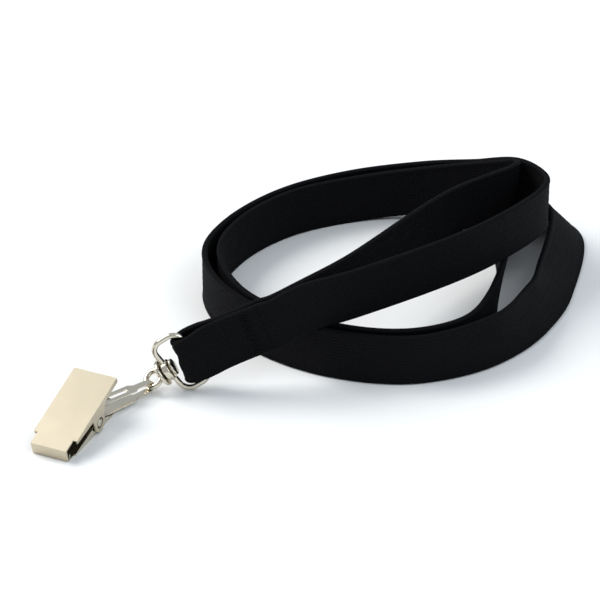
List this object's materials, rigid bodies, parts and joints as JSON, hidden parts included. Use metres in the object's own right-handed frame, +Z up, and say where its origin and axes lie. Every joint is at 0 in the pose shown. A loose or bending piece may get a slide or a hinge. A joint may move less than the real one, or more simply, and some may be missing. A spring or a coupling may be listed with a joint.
{
  "type": "lanyard badge holder",
  "caption": "Black knitted neck strap sewn round a wire ring, with a swivel, a folded link and a sprung metal bulldog clip.",
  "frame": {"origin": "middle of the flat underside of the clip's lower jaw, which lies on the table", "axes": "+Z up from the table; +X from the clip towards the coiled strap; +Y away from the viewer of the picture"},
  "size_m": [0.1516, 0.1348, 0.0304],
  "materials": {
    "knit": "flat tubular knit, matt black",
    "thread": "black polyester sewing thread",
    "nickel": "polished nickel plate",
    "satin_nickel": "satin nickel plate",
    "spring_steel": "drawn spring wire"
  },
  "bodies": {
    "strap": {"neck_strap": "knit", "strap_end_loop": "knit", "seam_thread": "thread"},
    "ring": {"wire_ring": "nickel"},
    "swivel": {"swivel_eye": "nickel", "swivel_rivet_head": "nickel"},
    "link": {"link_strap": "nickel"},
    "clip": {"lower_jaw": "nickel", "pivot_pin": "nickel", "jaw_spring": "spring_steel"},
    "jaw": {"upper_jaw": "satin_nickel"}
  },
  "joints": [
    {"name": "ring_tilt", "type": "hinge", "parent": "strap", "child": "ring", "pos_m": [0.02957, 0.01707, 0.01153], "axis": [-0.5671, -0.0297, 0.8231], "range_deg": [-18, 18]},
    {"name": "swivel_spin", "type": "hinge", "parent": "ring", "child": "swivel", "pos_m": [0.0225, 0.0167, 0.00665], "axis": [-0.822, -0.0431, -0.5678], "continuous": true},
    {"name": "link_swing", "type": "hinge", "parent": "swivel", "child": "link", "pos_m": [0.01719, 0.0153, 0.0023], "axis": [0.6808, -0.7324, 0], "range_deg": [-30, 8]},
    {"name": "clip_swing", "type": "hinge", "parent": "link", "child": "clip", "pos_m": [-0.00054, -0.00118, 0.003], "axis": [0.91, -0.4147, 0], "range_deg": [-12, 0]},
    {"name": "jaw_open", "type": "hinge", "parent": "clip", "child": "jaw", "pos_m": [-0.00054, -0.00118, 0.003], "axis": [-0.91, 0.4147, 0], "range_deg": [0, 22], "stiffness_Nm_per_rad": 0.1, "springref_deg": -34.38, "deforming": ["jaw_spring"]}
  ]
}
